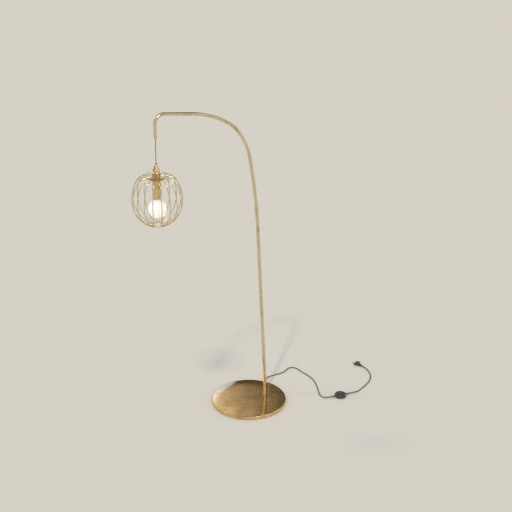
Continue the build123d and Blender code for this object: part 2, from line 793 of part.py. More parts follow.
def plug_parts():
    """A flat plug with two round sleeved pins, drawn along +X from where the cord enters."""
    rear = plug_relief_length

    def slice_at(reach, width, thickness, corner):
        outline = RectangleRounded(width, thickness, corner)
        return Plane(origin=(rear + reach, 0, 0), x_dir=(0, 1, 0), z_dir=(1, 0, 0)) * outline

    rear_slice = slice_at(0, plug_rear_width, plug_rear_thickness, plug_corner)
    waist_slice = slice_at(plug_waist, plug_waist_width, plug_thickness, plug_corner)
    shoulder_slice = slice_at(plug_shoulder, plug_width, plug_thickness, plug_corner)
    body = loft([rear_slice, waist_slice, shoulder_slice], ruled=True)
    body += extrude(shoulder_slice, plug_length - plug_shoulder)
    face = rear + plug_length
    pins, sleeves = [], []
    for side in (-1, 1):
        at = Vector(face, side * pin_spacing / 2, 0)
        root = disc(pin_root_radius, -pin_seat, pin_sleeve_length)
        tip = disc(pin_radius, pin_sleeve_length, pin_sleeve_length + pin_tip_length)
        tip = fillet(tip.edges().group_by(Axis.Z)[-1], pin_round)
        pins.append(lying(root + tip, at, (1, 0, 0)))
        sleeve = ring(pin_sleeve_radius, pin_root_radius + slip, 0, pin_sleeve_length)
        sleeves.append(lying(sleeve, at, (1, 0, 0)))
        body -= lying(disc(pin_root_radius + slip, -pin_seat, 0), at, (1, 0, 0))
    relief = lying(tapered(relief_tip_radius, plug_relief_radius, plug_relief_length), (0, 0, 0), (1, 0, 0))
    parts = {
        "plug_body": body,
        "plug_relief": relief,
        "plug_pins": Compound(pins),
        "pin_sleeves": Compound(sleeves),
    }
    return {name: place_plug(shape) for name, shape in parts.items()}


# ------------------------------------------------------------------ the cord's route on the floor
def routed(start, start_way, points, end, end_way, first_run, last_run):
    """Route points from one relief tip to the next, with a straight run out of each tip."""
    leave = start + start_way * first_run
    arrive = end - end_way * last_run
    middle = [Vector(x, y, cord_radius) for x, y in points]
    return [start, leave, *middle, arrive, end]


def cord_tube(name, route):
    """A tube of straight runs and tangent arcs, each arc as large as its two runs allow."""
    runs = [after - before for before, after in zip(route, route[1:])]
    radii = []
    for before, after in zip(runs, runs[1:]):
        half_turn = math.radians(before.get_angle(after)) / 2
        radii.append(arc_share * min(before.length, after.length) / math.tan(half_turn))
    path = FilletPolyline(*route, radius=radii)
    tube = swept(Circle(cord_radius), path)
    share = tube.volume / (math.pi * cord_radius**2 * path.length)
    print(name, "radii", [round(radius) for radius in radii])
    print(name, "length", round(path.length, 1), "volume share", round(share, 4))
    return tube


switch_way = Vector(1, 0, 0).rotate(Axis.Z, switch_turn)
plug_way = Vector(1, 0, 0).rotate(Axis.Z, plug_turn)
switch_middle = Vector(switch_x, switch_y, switch_split)
switch_entry = switch_middle - switch_way * switch_relief_reach
switch_exit = switch_middle + switch_way * switch_relief_reach
plug_entry = Vector(plug_x, plug_y, plug_thickness / 2)

to_switch = [
    (231, 92), (258, 84), (288, 73.5), (318, 67.5), (340.5, 73.2), (364, 80), (386, 66), (389, 39),
    (381, 8), (378, -24), (373, -54), (363, -86), (347, -116), (326, -144), (303, -173),
    (279, -202), (266, -227),
]
to_plug = [
    (429, -318), (460, -314), (490, -309), (520, -302), (549, -291), (575, -276), (597, -256),
    (613, -232),
]


def cord_parts():
    route_a = routed(base_tip, channel_way, to_switch, switch_entry, switch_way, base_run, switch_run)
    route_b = routed(switch_exit, switch_way, to_plug, plug_entry, plug_way, switch_run, plug_run)
    return {
        "floor_cord": cord_tube("floor_cord", route_a),
        "plug_cord": cord_tube("plug_cord", route_b),
    }


# ------------------------------------------------------------------ write
def main():
    os.makedirs("parts", exist_ok=True)
    parts = {}
    parts.update(base_parts())
    parts.update(stem_parts())
    parts["swivel_ball"] = swivel_ball()
    parts.update(pendant_parts())
    parts.update(switch_parts())
    parts.update(plug_parts())
    parts.update(cord_parts())
    for name, shape in parts.items():
        export_step(shape, f"parts/{name}.step")
    print(len(parts), "nodes; arm end", round(tip_x, 2), round(tip_z, 2), "ball", round(ball_z, 2))
    print("mouth", round(mouth_z, 2), "globe", round(globe_z, 2), "plate", round(plate_z, 2))


main()
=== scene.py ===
import json
import math

import bmesh
import bpy
from mathutils import Matrix, Vector


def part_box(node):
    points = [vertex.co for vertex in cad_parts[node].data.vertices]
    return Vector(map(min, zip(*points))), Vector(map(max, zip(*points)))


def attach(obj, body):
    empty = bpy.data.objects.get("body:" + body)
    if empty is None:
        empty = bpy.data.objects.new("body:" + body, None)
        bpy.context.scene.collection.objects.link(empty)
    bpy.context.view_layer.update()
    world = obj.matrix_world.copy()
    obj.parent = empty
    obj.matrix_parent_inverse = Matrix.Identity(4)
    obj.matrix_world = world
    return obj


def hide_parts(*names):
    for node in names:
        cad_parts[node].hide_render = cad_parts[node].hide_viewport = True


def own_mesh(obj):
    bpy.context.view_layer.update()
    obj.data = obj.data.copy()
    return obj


# Looks of an arched brass floor lamp with a wire cage pendant. Metres, Z up, floor at z = 0.
# Outlines and rings of points are in millimetres, and shell_mesh turns them into metres.

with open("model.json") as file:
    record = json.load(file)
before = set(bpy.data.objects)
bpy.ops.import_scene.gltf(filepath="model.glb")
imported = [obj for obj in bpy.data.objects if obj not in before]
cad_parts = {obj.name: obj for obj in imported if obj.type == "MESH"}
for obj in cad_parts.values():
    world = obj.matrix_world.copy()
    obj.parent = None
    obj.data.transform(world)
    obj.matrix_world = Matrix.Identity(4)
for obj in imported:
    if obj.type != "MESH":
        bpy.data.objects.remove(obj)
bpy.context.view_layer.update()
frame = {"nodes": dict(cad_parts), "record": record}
MM = 0.001

# ---------- the stem's line, as it is bent
TUBE_RADIUS = 7.5 * MM
TUBE_WALL = 1.2 * MM
FOOT = (111.0 * MM, 18.0 * MM)           # x and z of the stem's foot
LOWER_STEPS = [
    (None, 25.0 * MM), (300.0 * MM, 3.5), (None, 757.0 * MM),
]
UPPER_STEPS = [
    (None, 56.0 * MM), (2380.0 * MM, 9.0), (334.0 * MM, 44.6), (700.0 * MM, 18.9),
    (None, 164.0 * MM), (36.5 * MM, 104.0), (None, 51.0 * MM),
]
BEND_STEP = 1.5                          # degrees of bend between rings of the tube
LINE_STEP = 25.0 * MM

# ---------- the cage's wire
WIRE_RADIUS = 1.75 * MM
WIRE_COUNT = 18
FIRST_WIRE = -2.0                        # degrees
RING_RADIUS = 21.0 * MM
WELD_BEAD = 1.25                         # bead radius over wire radius
WIRE_RISE = 45.0
WIRE_STEPS = [
    (None, 2.2 * MM), (37.5 * MM, -45.0), (40.5 * MM, -60.0), (169.5 * MM, -30.0),
    (123.0 * MM, -40.0), (101.3 * MM, -38.0),
]

# ---------- the mains cord's two routes
CORD_DIAMETER = 4.8 * MM
TO_SWITCH = [
    (0.18529, 0.06689, 0.0058), (0.20536, 0.08496, 0.0058), (0.231, 0.092, 0.0024),
    (0.258, 0.084, 0.0024), (0.288, 0.0735, 0.0024), (0.318, 0.0675, 0.0024),
    (0.3405, 0.0732, 0.0024), (0.364, 0.080, 0.0024), (0.386, 0.066, 0.0024),
    (0.389, 0.039, 0.0024), (0.381, 0.008, 0.0024), (0.378, -0.024, 0.0024),
    (0.373, -0.054, 0.0024), (0.363, -0.086, 0.0024), (0.347, -0.116, 0.0024),
    (0.326, -0.144, 0.0024), (0.303, -0.173, 0.0024), (0.279, -0.202, 0.0024),
    (0.266, -0.227, 0.0024), (0.27356, -0.25592, 0.0075), (0.29894, -0.26775, 0.0075),
]
TO_PLUG = [
    (0.37507, -0.30325, 0.0075), (0.40044, -0.31508, 0.0075), (0.429, -0.318, 0.0024),
    (0.460, -0.314, 0.0024), (0.490, -0.309, 0.0024), (0.520, -0.302, 0.0024),
    (0.549, -0.291, 0.0024), (0.575, -0.276, 0.0024), (0.597, -0.256, 0.0024),
    (0.613, -0.232, 0.0024), (0.62368, -0.20685, 0.00685), (0.6265, -0.180, 0.00685),
]
CHANNEL_TURN = 42.0                      # degrees, the way the cord leaves the base
SWITCH_TURN = -25.0
PLUG_TURN = 84.0


# ---------- node and colour helpers
def linear(code):
    """A #RRGGBB colour as linear red, green, blue and alpha."""
    channels = [int(code[i:i + 2], 16) / 255 for i in (1, 3, 5)]
    return tuple(c / 12.92 if c <= 0.04045 else ((c + 0.055) / 1.055) ** 2.4 for c in channels) + (1.0,)


def feed(node, inputs):
    """Sets or links a node's inputs. A node that is given stands for its first output."""
    for name, value in inputs.items():
        if isinstance(value, bpy.types.Node):
            value = value.outputs[0]
        if isinstance(value, bpy.types.NodeSocket):
            node.id_data.links.new(value, node.inputs[name])
        else:
            node.inputs[name].default_value = value


def add(tree, kind, inputs=None, stops=(), **settings):
    """Adds a node with its settings and inputs, and with its (position, colour) stops if it is a ramp."""
    node = tree.nodes.new(kind)
    for name, value in settings.items():
        setattr(node, name, value)
    feed(node, inputs or {})
    if stops:
        elements = node.color_ramp.elements
        while len(elements) < len(stops):
            elements.new(0.5)
        for element, (position, code) in zip(elements, stops):
            element.position = position
            element.color = linear(code)
    return node


def new_material(name):
    """An empty node material with its shader, and the object's own coordinates."""
    material = bpy.data.materials.new(name)
    material.use_nodes = True
    tree = material.node_tree
    tree.nodes.clear()
    shader = add(tree, "ShaderNodeBsdfPrincipled")
    add(tree, "ShaderNodeOutputMaterial", {"Surface": shader})
    place = add(tree, "ShaderNodeTexCoord").outputs["Object"]
    return material, tree, shader, place


# ---------- materials
def polished_brass(name, light, dark, patina, low, high, mottle, haze):
    """Brass sheet or tube, lacquered after polishing: mottled where it has aged, with fine hairlines."""
    material, tree, shader, place = new_material(name)
    clouds = add(tree, "ShaderNodeTexNoise", {
        "Vector": place, "Scale": 1 / mottle, "Detail": 6.0, "Roughness": 0.62,
    })
    specks = add(tree, "ShaderNodeTexNoise", {
        "Vector": place, "Scale": 1 / (mottle * 0.16), "Detail": 3.0, "Roughness": 0.7,
    })
    aged = add(tree, "ShaderNodeMath", {0: clouds, 1: specks}, operation="MULTIPLY")
    colour = add(tree, "ShaderNodeValToRGB", {"Fac": aged}, [(0.12, patina), (0.22, dark), (0.34, light)])
    gloss = add(tree, "ShaderNodeMapRange", {
        "Value": aged, "From Min": 0.12, "From Max": 0.36, "To Min": high, "To Max": low,
    })
    hairlines = add(tree, "ShaderNodeTexNoise", {"Vector": place, "Scale": 1 / (0.9 * MM), "Detail": 2.0})
    relief = add(tree, "ShaderNodeBump", {"Height": hairlines, "Strength": haze, "Distance": 0.02 * MM})
    wave = add(tree, "ShaderNodeBump", {
        "Height": clouds, "Strength": 0.25, "Distance": 0.25 * MM, "Normal": relief,
    })
    feed(shader, {"Metallic": 1.0, "Base Color": colour, "Roughness": gloss, "Normal": wave})
    return material


def base_sheet():
    """Brass sheet, brushed along one line and lacquered: streaked, and finely pitted on the stem's side."""
    material, tree, shader, place = new_material("brushed_lacquered_base_brass")
    line = add(tree, "ShaderNodeMapping", {"Vector": place, "Rotation": (0.0, 0.0, math.radians(46.0))})
    clouds = add(tree, "ShaderNodeTexNoise", {"Vector": line, "Scale": 1 / (75 * MM), "Detail": 4.0})
    drawn = add(tree, "ShaderNodeVectorMath", {0: line, 1: (0.16, 1.0, 1.0)}, operation="MULTIPLY")
    streaks = add(tree, "ShaderNodeTexNoise", {
        "Vector": drawn, "Scale": 1 / (11 * MM), "Detail": 4.0, "Roughness": 0.6,
    })
    pits = add(tree, "ShaderNodeTexNoise", {"Vector": line, "Scale": 1 / (7 * MM), "Detail": 2.0})
    side = add(tree, "ShaderNodeSeparateXYZ", {"Vector": line})
    worn = add(tree, "ShaderNodeMapRange", {"Value": side, "From Min": 10 * MM, "From Max": 95 * MM})
    pitted = add(tree, "ShaderNodeMath", {0: pits, 1: worn}, operation="MULTIPLY")
    age = add(tree, "ShaderNodeMath", {0: clouds, 1: streaks}, operation="MULTIPLY")
    colour = add(tree, "ShaderNodeValToRGB", {"Fac": age}, [
        (0.14, "#CBA877"), (0.22, "#E0C190"), (0.33, "#EACB9A"),
    ])
    gloss = add(tree, "ShaderNodeMapRange", {
        "Value": pitted, "From Min": 0.3, "From Max": 0.65, "To Min": 0.035, "To Max": 0.16,
    })
    rolled = add(tree, "ShaderNodeBump", {"Height": clouds, "Strength": 0.15, "Distance": 0.3 * MM})
    brushed = add(tree, "ShaderNodeBump", {
        "Height": streaks, "Strength": 0.3, "Distance": 0.05 * MM, "Normal": rolled,
    })
    pocked = add(tree, "ShaderNodeBump", {
        "Height": pitted, "Strength": 0.8, "Distance": 0.45 * MM, "Normal": brushed,
    })
    feed(shader, {"Metallic": 1.0, "Base Color": colour, "Roughness": gloss, "Normal": pocked})
    return material


def clouded(name, size, detail, stops, settings, gloss=None, grain=None):
    """A material clouded in its colour, and if so given in its gloss, with or without a grain as relief."""
    material, tree, shader, place = new_material(name)
    clouds = add(tree, "ShaderNodeTexNoise", {"Vector": place, "Scale": 1 / size, "Detail": detail})
    colour = add(tree, "ShaderNodeValToRGB", {"Fac": clouds}, stops)
    feed(shader, {"Base Color": colour, **settings})
    if gloss:
        low, high = gloss
        shine = add(tree, "ShaderNodeMapRange", {"Value": clouds, "To Min": low, "To Max": high})
        feed(shader, {"Roughness": shine})
    if grain:
        pitch, layers, strength, depth = grain
        texture = add(tree, "ShaderNodeTexNoise", {"Vector": place, "Scale": 1 / pitch, "Detail": layers})
        bump = add(tree, "ShaderNodeBump", {"Height": texture, "Strength": strength, "Distance": depth})
        feed(shader, {"Normal": bump})
    return material


def moulded_plastic(name, deep, lit, rough):
    """Moulded plastic with a fine spark-eroded texture, which breaks up its gloss."""
    return clouded(
        name, 14 * MM, 4.0, [(0.3, deep), (0.75, lit)], {},
        gloss=(rough - 0.06, rough + 0.08), grain=(0.7 * MM, 2.0, 0.35, 0.05 * MM),
    )


def bright_metal(name, low, high, rough):
    """Bright-dipped or plated contact metal, with light handling marks."""
    return clouded(
        name, 5 * MM, 5.0, [(0.3, low), (0.65, high)], {"Metallic": 1.0}, gloss=(rough + 0.1, rough - 0.05)
    )


def opal_glass():
    """Opal glass lit from inside: an even warm white that falls off a little towards its outline."""
    material, tree, shader, _ = new_material("lit_opal_glass")
    edge = add(tree, "ShaderNodeLayerWeight", {"Blend": 0.35}).outputs["Facing"]
    glow = add(tree, "ShaderNodeValToRGB", {"Fac": edge}, [(0.0, "#FFFBF6"), (1.0, "#F6EEE2")])
    feed(shader, {
        "Base Color": linear("#FFFDF8"), "Roughness": 0.12, "Emission Strength": 0.28, "Emission Color": glow,
    })
    return material


def lit_core():
    """The ribbed diffuser inside the globe, lit: a warm white, paler on its ribs."""
    material, tree, shader, place = new_material("lit_diffuser")
    waves = add(tree, "ShaderNodeTexWave", {"Vector": place, "Scale": 1 / (6 * MM), "Distortion": 0.0})
    ribs = waves.outputs["Fac"]
    colour = add(tree, "ShaderNodeValToRGB", {"Fac": ribs}, [(0.0, "#FFE7BE"), (1.0, "#FFF6E4")])
    feed(shader, {"Base Color": colour, "Emission Color": colour, "Emission Strength": 3.0, "Roughness": 0.4})
    return material


def braided_flex():
    """Rayon braid over a thin round flex, brown, its weave drawn at 1.1 mm so that it shows."""
    material, tree, shader, place = new_material("brown_braided_flex")
    weave = add(tree, "ShaderNodeTexWave", {
        "Vector": place, "Scale": 1 / (6.9 * MM), "Distortion": 1.5, "Detail": 1.0,
    }, bands_direction="DIAGONAL").outputs["Fac"]
    colour = add(tree, "ShaderNodeValToRGB", {"Fac": weave}, [(0.2, "#3A2C1E"), (0.8, "#7A6347")])
    bump = add(tree, "ShaderNodeBump", {"Height": weave, "Strength": 0.6, "Distance": 0.15 * MM})
    feed(shader, {"Base Color": colour, "Roughness": 0.6, "Sheen Weight": 0.2, "Normal": bump})
    return material


MATERIALS = {
    # each brass: light, dark and aged colour, lowest and highest roughness, size of its mottling, its haze
    "satin_brass": polished_brass(
        "champagne_lacquered_brass", "#E6DAB8", "#DACBA4", "#BBA97C", 0.08, 0.16, 60 * MM, 0.15
    ),
    "head_brass": polished_brass(
        "satin_spun_brass", "#EBD5A6", "#DFC590", "#BC9E68", 0.16, 0.26, 22 * MM, 0.2
    ),
    "cage_brass": polished_brass(
        "lacquered_brass_wire", "#E4D8B4", "#D6C69E", "#AE9C70", 0.14, 0.26, 25 * MM, 0.15
    ),
    "nose_brass": polished_brass(
        "polished_nose_brass", "#F0DDB2", "#DDC491", "#A5824E", 0.14, 0.28, 9 * MM, 0.2
    ),
    "dark_fitting": polished_brass(
        "turned_fitting_brass", "#D3B78A", "#BC9B6C", "#87653C", 0.22, 0.36, 7 * MM, 0.2
    ),
    "base_brass": base_sheet(),
    # sand-cast iron under a thin black dip: grainy and dull
    "cast_weight": clouded(
        "dipped_cast_iron", 1.2 * MM, 5.0, [(0.3, "#17181A"), (0.75, "#33322F")], {"Roughness": 0.78},
        grain=(1.2 * MM, 5.0, 0.8, 0.3 * MM),
    ),
    # thin rubber sheet with a flocked face: matt black with a soft nap
    "pad": clouded(
        "flocked_rubber_pad", 0.8 * MM, 3.0, [(0.35, "#121212"), (0.7, "#2A2928")],
        {"Roughness": 0.95, "Sheen Weight": 0.25},
    ),
    # zinc-plated steel, as on turned lamp fittings: cool grey, slightly clouded
    "plated_steel": clouded(
        "zinc_plated_steel", 3 * MM, 4.0, [(0.3, "#8D8F8E"), (0.7, "#C6C7C2")],
        {"Metallic": 1.0, "Roughness": 0.34},
    ),
    # glazed steatite, as in a screw lampholder: warm white with faint specks
    "porcelain": clouded(
        "glazed_porcelain", 2 * MM, 4.0, [(0.25, "#CFC8B8"), (0.45, "#EFEAE0")],
        {"Roughness": 0.18, "Coat Weight": 0.4},
    ),
    "contact_metal": bright_metal("bright_brass_contact", "#B9994F", "#E2C87E", 0.25),
    "cap_metal": bright_metal("aluminium_screw_cap", "#B4B5B5", "#DCDCDA", 0.28),
    "opal_glass": opal_glass(),
    "light_core": lit_core(),
    "dark_glass": moulded_plastic("dark_glass_insulator", "#0D0C0B", "#1A1815", 0.15),
    # PVC cord sheath: dark grey, softly shining and slightly dusty, with a fine grain
    "black_cord": clouded(
        "black_cord_sheath", 9 * MM, 5.0, [(0.3, "#4A4841"), (0.8, "#6B685F")], {"Roughness": 0.42},
        grain=(1.5 * MM, 2.0, 0.3, 0.06 * MM),
    ),
    "flex": braided_flex(),
    "black_plastic": moulded_plastic("black_moulded_plastic", "#3B3832", "#565248", 0.5),
    "pin_metal": bright_metal("nickel_plated_pins", "#A9A59B", "#DAD6CC", 0.2),
}


# ---------- shape helpers
def level_way(degrees):
    """The level direction so many degrees round from +X."""
    turn = math.radians(degrees)
    return Vector((math.cos(turn), math.sin(turn), 0))


def round_box(node):
    """A round node's radius, and the heights of its foot and its top, in millimetres."""
    low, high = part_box(node)
    return (high.x - low.x) / 2 / MM, low.z / MM, high.z / MM


def rounded(corners, steps=6):
    """Outline through (radius, height, fillet) corners, with each fillet drawn as an arc."""
    points = []
    last = len(corners) - 1
    for i, (x, z, fillet) in enumerate(corners):
        here = Vector((x, z))
        if not fillet or i in (0, last):
            points.append((x, z))
            continue
        back = Vector(corners[i - 1][:2]) - here
        ahead = Vector(corners[i + 1][:2]) - here
        angle = back.angle(ahead)
        cut = min(fillet / math.tan(angle / 2), back.length * 0.49, ahead.length * 0.49)
        start = here + back.normalized() * cut
        end = here + ahead.normalized() * cut
        for step in range(steps + 1):
            t = step / steps
            points.append(tuple((1 - t) ** 2 * start + 2 * t * (1 - t) * here + t * t * end))
    return points


def circle(radius, height, segments):
    """Points round the Z axis."""
    turns = [2 * math.pi * k / segments for k in range(segments)]
    return [(radius * math.cos(turn), radius * math.sin(turn), height) for turn in turns]


def shell_mesh(verts, segments, closed=False, capped=False, unit=MM):
    """A mesh over rings of points. The last ring may join the first, or both ends may be capped."""
    count = len(verts) // segments
    faces = []
    for row in range(count if closed else count - 1):
        low = row * segments
        high = (row + 1) % count * segments
        for k in range(segments):
            after = (k + 1) % segments
            faces.append((low + k, low + after, high + after, high + k))
    if capped:
        faces.append(tuple(range(segments)))
        faces.append(tuple(range(len(verts) - segments, len(verts))))
    mesh = bpy.data.meshes.new("shell")
    mesh.from_pydata([[part * unit for part in point] for point in verts], [], faces)
    return mesh


def placed(name, data):
    """A new object in the scene."""
    piece = bpy.data.objects.new(name, data)
    bpy.context.scene.collection.objects.link(piece)
    return piece


def finish_mesh(name, node, mesh, finish, body, sharp=35.0):
    """Makes a mesh a piece with its normals, shading, finish and body, in place of its CAD node."""
    shape = bmesh.new()
    shape.from_mesh(mesh)
    bmesh.ops.remove_doubles(shape, verts=shape.verts, dist=1e-6)
    bmesh.ops.recalc_face_normals(shape, faces=shape.faces)
    shape.to_mesh(mesh)
    shape.free()
    mesh.shade_smooth()
    mesh.set_sharp_from_angle(angle=math.radians(sharp))
    mesh.materials.clear()
    mesh.materials.append(MATERIALS[finish])
    piece = placed(name, mesh)
    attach(piece, body)
    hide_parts(node)
    return piece


def turned_mesh(outline, segments=96):
    """A surface turned about Z. An outline that starts off the axis is that of a wall, and is closed."""
    verts = [point for radius, height in outline for point in circle(radius, height, segments)]
    mesh = shell_mesh(verts, segments, closed=outline[0][0] > 0)
    shape = bmesh.new()
    shape.from_mesh(mesh)
    bmesh.ops.remove_doubles(shape, verts=shape.verts, dist=1e-7)
    bmesh.ops.dissolve_degenerate(shape, edges=shape.edges, dist=1e-7)
    shape.to_mesh(mesh)
    shape.free()
    return mesh


def turned(name, node, outline, finish, body, place, segments=96, sharp=35.0):
    """A turned piece in its place."""
    mesh = turned_mesh(outline, segments)
    mesh.transform(place)
    return finish_mesh(name, node, mesh, finish, body, sharp)


def several(name, node, outline, segments, finish, places):
    """One piece of the stand, made of the same turned shape at several places."""
    parts = bmesh.new()
    for place in places:
        mesh = turned_mesh(outline, segments)
        mesh.transform(place)
        parts.from_mesh(mesh)
        bpy.data.meshes.remove(mesh)
    mesh = bpy.data.meshes.new(name)
    parts.to_mesh(mesh)
    parts.free()
    finish_mesh(name, node, mesh, finish, "stand")


def upright(x=0.0):
    """Places what is drawn up Z on the axis at x."""
    return Matrix.Translation((x, 0.0, 0.0))


def laid(start, degrees):
    """Places what is drawn up Z along a level direction."""
    return Matrix.Translation(start) @ level_way(degrees).to_track_quat("Z", "Y").to_matrix().to_4x4()


def bend_path(start, heading, steps):
    """Points and headings along tangent lines and arcs in a flat plane."""
    x, z = start
    path = [(x, z, heading)]
    for bend, amount in steps:
        if bend is None:
            count = max(1, round(amount / LINE_STEP))
            for _ in range(count):
                x += math.cos(heading) * amount / count
                z += math.sin(heading) * amount / count
                path.append((x, z, heading))
            continue
        side = math.copysign(1.0, amount)
        count = max(2, round(abs(amount) / BEND_STEP))
        for _ in range(count):
            turn = math.radians(amount) / count
            centre_x = x - math.sin(heading) * bend * side
            centre_z = z + math.cos(heading) * bend * side
            heading += turn
            x = centre_x + math.sin(heading) * bend * side
            z = centre_z - math.cos(heading) * bend * side
            path.append((x, z, heading))
    return path


def tube_mesh(path, outer, inner, segments=40):
    """A tube in the XZ plane, drawn in metres, with its ends closed by rings with a broken edge."""
    edge = 0.3 * MM
    spokes = [2 * math.pi * k / segments for k in range(segments)]

    def ring(at, radius, shift=0.0):
        x, z, heading = at
        ahead = Vector((math.cos(heading), 0, math.sin(heading)))
        across = Vector((-math.sin(heading), 0, math.cos(heading)))
        centre = Vector((x, 0, z)) + ahead * shift
        return [centre + radius * (math.cos(t) * across + math.sin(t) * Vector((0, 1, 0))) for t in spokes]

    rings = [ring(path[0], outer - edge), ring(path[0], outer, edge)]
    rings += [ring(at, outer) for at in path[1:-1]]
    rings += [ring(path[-1], outer, -edge), ring(path[-1], outer - edge)]
    rings += [ring(at, inner) for at in reversed(path)]
    return shell_mesh([point for one in rings for point in one], segments, closed=True, unit=1.0)


# ---------- base
def base_dish():
    """The brass dish over the weight: a gentle crown, a rounded rim, a skirt and a small turned-in hem."""
    low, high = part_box("base_cover")
    rim = high.x / MM
    top = high.z / MM
    foot = low.z / MM
    wall = 1.2
    fall = 1.0                           # of the crown, from the middle to the rim
    flat = rim * 0.45                    # radius within which the top is flat
    edge = rim - 2.4
    rings = 24
    crown = [(0.0, top, 0)]
    for ring in range(rings + 1):
        out = ring / rings
        crown.append((flat + (edge - flat) * out, top - fall * out ** 3, 0))
    outline = rounded(crown + [
        (rim, top - fall, 1.5), (rim, foot, 0.5), (rim - wall, foot, 0.4),
        (rim - wall, top - wall - 1, 0.6), (rim - wall - 1, top - wall, 0),
        (0.0, top - wall, 0),
    ])
    turned("base_dish", "base_cover", outline, "base_brass", "stand", upright(), segments=192)


def ribbed_relief(length, root, tip, ribs, rib, collar, collar_radius):
    """A tapered sleeve with rings moulded round it, drawn up Z from its root."""
    corners = [(0.0, -collar, 0), (collar_radius, -collar, 0.2)]
    if collar:
        corners += [(collar_radius, 0.0, 0.3)]
    pitch = length / (ribs + 1)
    for number in range(ribs):
        at = pitch * (number + 0.7)
        radius = root + (tip - root) * at / length
        corners += [
            (radius, at - pitch * 0.3, 0.15), (radius - rib, at - pitch * 0.12, 0.15),
            (radius - rib, at + pitch * 0.22, 0.15), (radius, at + pitch * 0.4, 0.15),
        ]
    corners += [(tip, length, 0.3), (0.0, length, 0)]
    return rounded(corners, steps=3)


def base_relief():
    """The ribbed sleeve where the cord leaves the base."""
    length = 22.0
    root = Vector(TO_SWITCH[0]) - level_way(CHANNEL_TURN) * length * MM
    outline = ribbed_relief(length, 3.6, 2.9, 5, 0.5, 2.0, 4.8)
    turned(
        "base_strain_relief", "base_cord_relief", outline, "black_plastic", "stand",
        laid(root, CHANNEL_TURN), 40,
    )


# ---------- stem
def stem_tubes():
    """Both tubes of the stem. Gives the x and z of the arm's end."""
    lower = bend_path(FOOT, math.radians(90), LOWER_STEPS)
    x, z, heading = lower[-1]
    upper = bend_path((x, z), heading, UPPER_STEPS)
    tubes = (("stem_lower_tube", "stem_lower", lower), ("stem_arch_tube", "stem_arch", upper))
    for name, node, path in tubes:
        mesh = tube_mesh(path, TUBE_RADIUS, TUBE_RADIUS - TUBE_WALL)
        finish_mesh(name, node, mesh, "satin_brass", "stand")
    return upper[-1][:2]


def arm_nose(tip_x, tube_end):
    """The turned plug in the arm's end, with the mouth that the flex comes out of."""
    _, foot, top = round_box("arm_end_plug")
    rim = tube_end / MM
    nose = 5.4
    mouth = 3.85
    seat = 6.25
    bore = 1.8
    outline = rounded([
        (bore, top, 0), (seat, top, 0.3), (seat, rim, 0), (nose, rim, 0.2),
        (nose, foot, 0.9), (mouth + 0.4, foot, 0.2), (mouth, foot + 0.4, 0),
        (4.3, foot + 2, 0), (3.4, foot + 4.6, 0), (bore, foot + 6, 0),
    ])
    turned("arm_nose", "arm_end_plug", outline, "nose_brass", "stand", upright(tip_x), 64)


# ---------- pendant fittings
FLEX_HOLE = 5.05                         # radius of the hole through the pendant's caps
PLATE_HOLE = 5.1


def flex_sleeve(tip_x):
    """The braid over the pendant's flex."""
    _, foot, top = round_box("pendant_flex")
    radius = 1.5
    outline = rounded([
        (0.0, foot, 0), (radius, foot, 0), (radius, top - radius, 0),
        (radius * 0.72, top - radius * 0.3, 0), (0.0, top, 0),
    ])
    turned("pendant_braid", "pendant_flex", outline, "flex", "flex", upright(tip_x), 24)


def grip_sleeve(tip_x):
    """The tapered sleeve that grips the flex."""
    _, foot, top = round_box("cord_grip")
    bore = 1.56
    foot_radius = 3.4
    neck = round_box("grip_nut")[2]
    outline = rounded([
        (bore, top, 0), (2.0, top, 0.2), (2.6, top - 0.6, 0.3),
        (foot_radius, neck + 0.4, 0.3), (foot_radius, foot, 0.2), (bore, foot, 0),
    ])
    turned("grip_sleeve", "cord_grip", outline, "nose_brass", "head", upright(tip_x), 40)


def grip_ring(tip_x):
    """The turned nut under the grip, with two beads."""
    _, foot, top = round_box("grip_nut")
    bead = 6.2
    waist = 5.2
    bore = 3.45
    outline = rounded([
        (bore, top, 0), (waist, top, 0.3), (bead, top - 1.0, 0.5),
        (bead, top - 3.5, 0.5), (waist, top - 4.5, 0.4),
        (waist, top - 5.5, 0.4), (bead, top - 6.5, 0.5), (bead, foot, 0.3),
        (FLEX_HOLE, foot, 0), (FLEX_HOLE, top - 6.0, 0), (bore, top - 6.0, 0),
    ])
    turned("grip_ring", "grip_nut", outline, "nose_brass", "head", upright(tip_x), 64)


def cone_cap(tip_x):
    """The cap over the cage's seat: a cone, a soft shoulder and a beaded hem."""
    radius, foot, top = round_box("pendant_cap")
    wall = 1.2
    side = radius - 0.6
    bead = 0.5
    cone = top - 21.0
    outline = rounded([
        (FLEX_HOLE, top, 0), (7.2, top, 0.8), (side, cone, 5.0),
        (side, foot + 4.4, 0.4), (radius, foot + 3.8, bead), (radius, foot + 2.0, bead),
        (side, foot + 1.4, 0.3), (side, foot, 0.3), (side - wall, foot, 0.2),
        (side - wall, cone, 3.0), (6.6, top - 1.5 * wall, 0.3),
        (FLEX_HOLE, top - 1.5 * wall, 0),
    ])
    turned("cone_cap", "pendant_cap", outline, "head_brass", "head", upright(tip_x))


